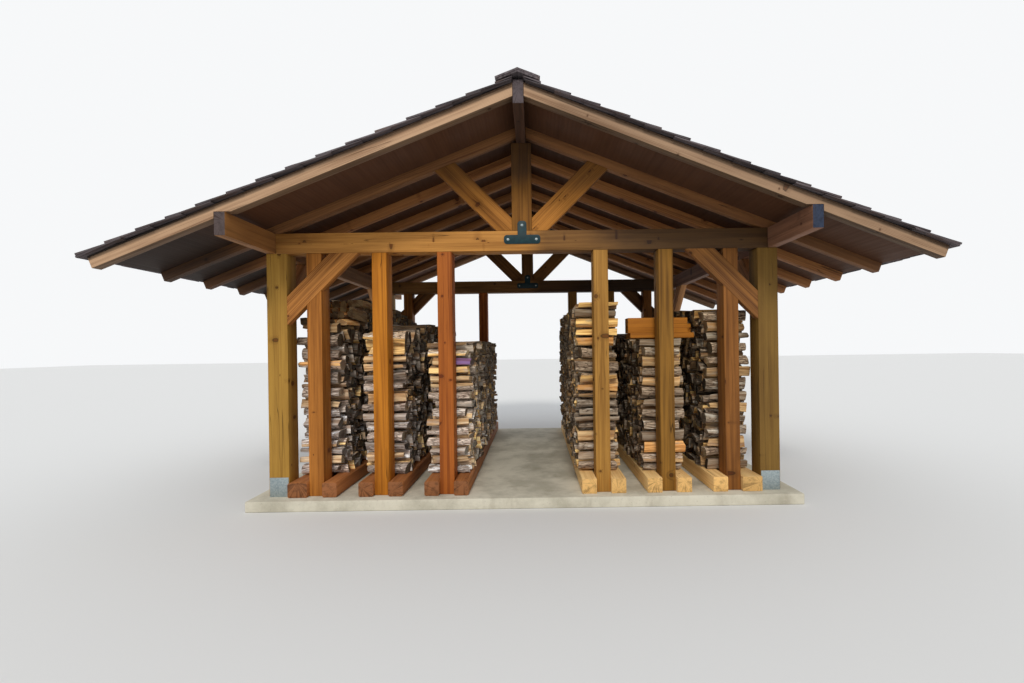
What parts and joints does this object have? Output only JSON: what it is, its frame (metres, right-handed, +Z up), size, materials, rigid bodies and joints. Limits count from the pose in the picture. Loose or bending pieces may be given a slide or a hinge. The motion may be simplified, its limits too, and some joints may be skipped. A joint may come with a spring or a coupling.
{
  "type": "log store",
  "caption": "Open timber frame log store: gabled shake roof on king post trusses, knee braces, racks of split firewood on both sides of a central aisle, concrete slab.",
  "frame": {"origin": "middle of the bounding box at the underside of the slab", "axes": "+Z up, the front gable seen in the picture faces -Y, +X to the right of someone looking at that front"},
  "size_m": [7.017, 5.2976, 3.7001],
  "materials": {
    "concrete": "broomed grey concrete",
    "galvanised_steel": "galvanised sheet, dull grey blue",
    "black_steel": "black powder coat",
    "corner_post_timber": "sawn treated pine, olive brown",
    "rack_post_timber": "sawn treated pine, amber",
    "truss_timber": "sawn pine, light brown",
    "brace_timber": "sawn pine, red brown",
    "beam_timber": "sawn pine, brown with dark end grain",
    "rafter_timber": "sawn pine, brown",
    "fly_rafter_timber": "sawn pine, weathered light tan",
    "rail_timber_red": "treated pine, red brown",
    "rail_timber_pale": "fresh pine, pale yellow",
    "dark_plywood": "dark stained plywood",
    "split_shake": "thick split shakes, dark grey brown",
    "firewood": "split logs, grey brown bark and tan ends",
    "offcut_timber": "squared pine, orange"
  },
  "bodies": {
    "root": {"corner_post_front_left": "corner_post_timber", "corner_post_front_right": "corner_post_timber", "corner_post_rear_left": "corner_post_timber", "corner_post_rear_right": "corner_post_timber", "deck_left": "dark_plywood", "deck_right": "dark_plywood", "eave_beam_left": "beam_timber", "eave_beam_right": "beam_timber", "firewood_1": "firewood", "firewood_2": "firewood", "firewood_3": "firewood", "firewood_4": "firewood", "firewood_5": "firewood", "firewood_6": "firewood", "fly_rafters_front": "fly_rafter_timber", "fly_rafters_rear": "fly_rafter_timber", "king_post_front": "truss_timber", "king_post_rear": "truss_timber", "knee_braces_front": "brace_timber", "knee_braces_rear": "brace_timber", "loose_boards": "offcut_timber", "post_bases": "galvanised_steel", "rack_posts_1": "rack_post_timber", "rack_posts_2": "rack_post_timber", "rack_posts_3": "rack_post_timber", "rack_posts_4": "rack_post_timber", "rack_posts_5": "rack_post_timber", "rack_posts_6": "rack_post_timber", "rack_rails_left": "rail_timber_red", "rack_rails_right": "rail_timber_pale", "rafters_left": "rafter_timber", "rafters_right": "rafter_timber", "ridge_beam": "beam_timber", "ridge_cap": "split_shake", "shakes_left": "split_shake", "shakes_right": "split_shake", "side_braces_left": "brace_timber", "side_braces_right": "brace_timber", "slab": "concrete", "squared_offcuts": "offcut_timber", "struts_front": "truss_timber", "struts_rear": "truss_timber", "tee_plates": "black_steel", "tie_beam_front": "truss_timber", "tie_beam_rear": "truss_timber"}
  },
  "joints": []
}
